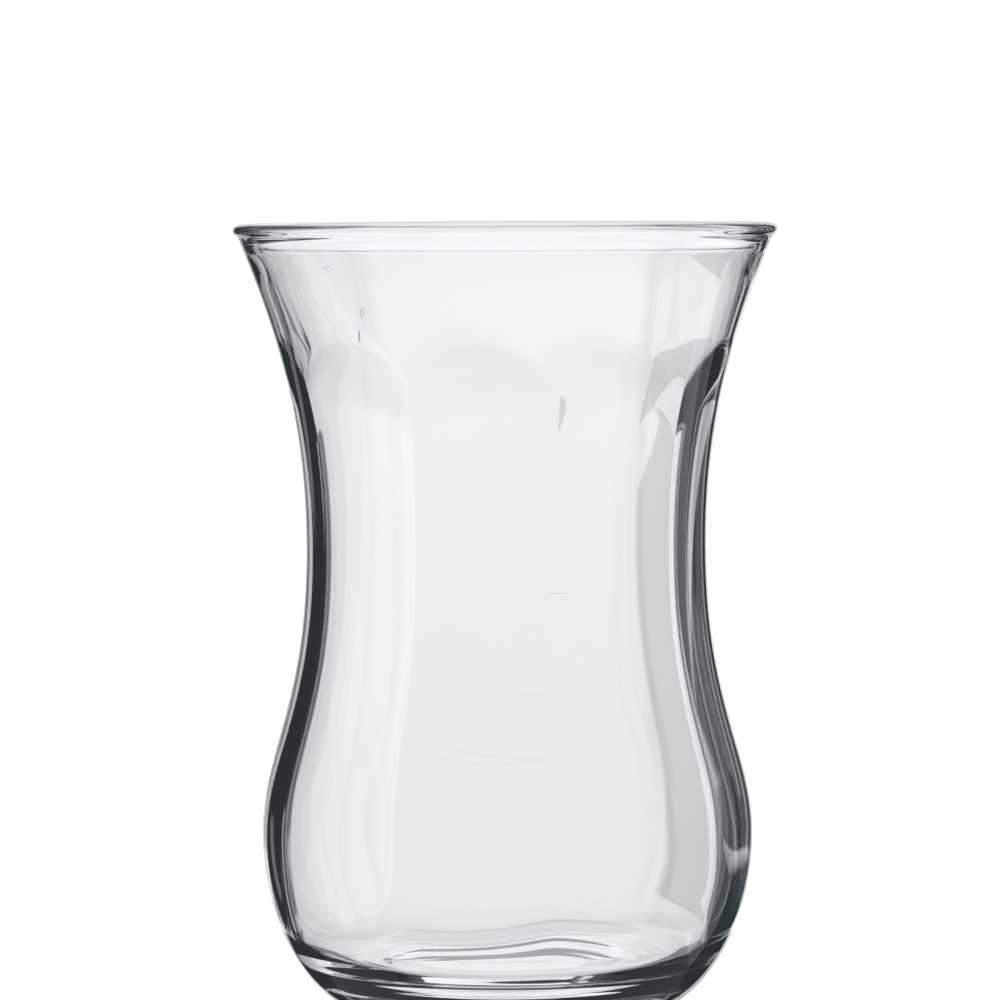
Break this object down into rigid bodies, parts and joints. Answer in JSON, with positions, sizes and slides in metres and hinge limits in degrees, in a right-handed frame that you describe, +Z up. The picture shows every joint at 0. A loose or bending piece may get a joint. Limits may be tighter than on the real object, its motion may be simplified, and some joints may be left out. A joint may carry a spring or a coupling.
{
  "type": "turkish tea glass",
  "caption": "Empty tulip-shaped tea glass in clear pressed glass, narrow at the waist, with a flared lip, a beaded rim, long shallow panels inside and a thick bottom.",
  "frame": {"origin": "centre of the foot, on the surface that the glass stands on", "axes": "+Z up along the glass's axis; the picture looks along +Y, so +X is to its right; a corner between two of the nine panels inside is 4 degrees past +X, on the side of +Y"},
  "size_m": [0.0598, 0.06, 0.0865],
  "materials": {
    "clear_glass": "fire-polished clear glass"
  },
  "bodies": {
    "root": {"glass": "clear_glass"}
  },
  "joints": []
}
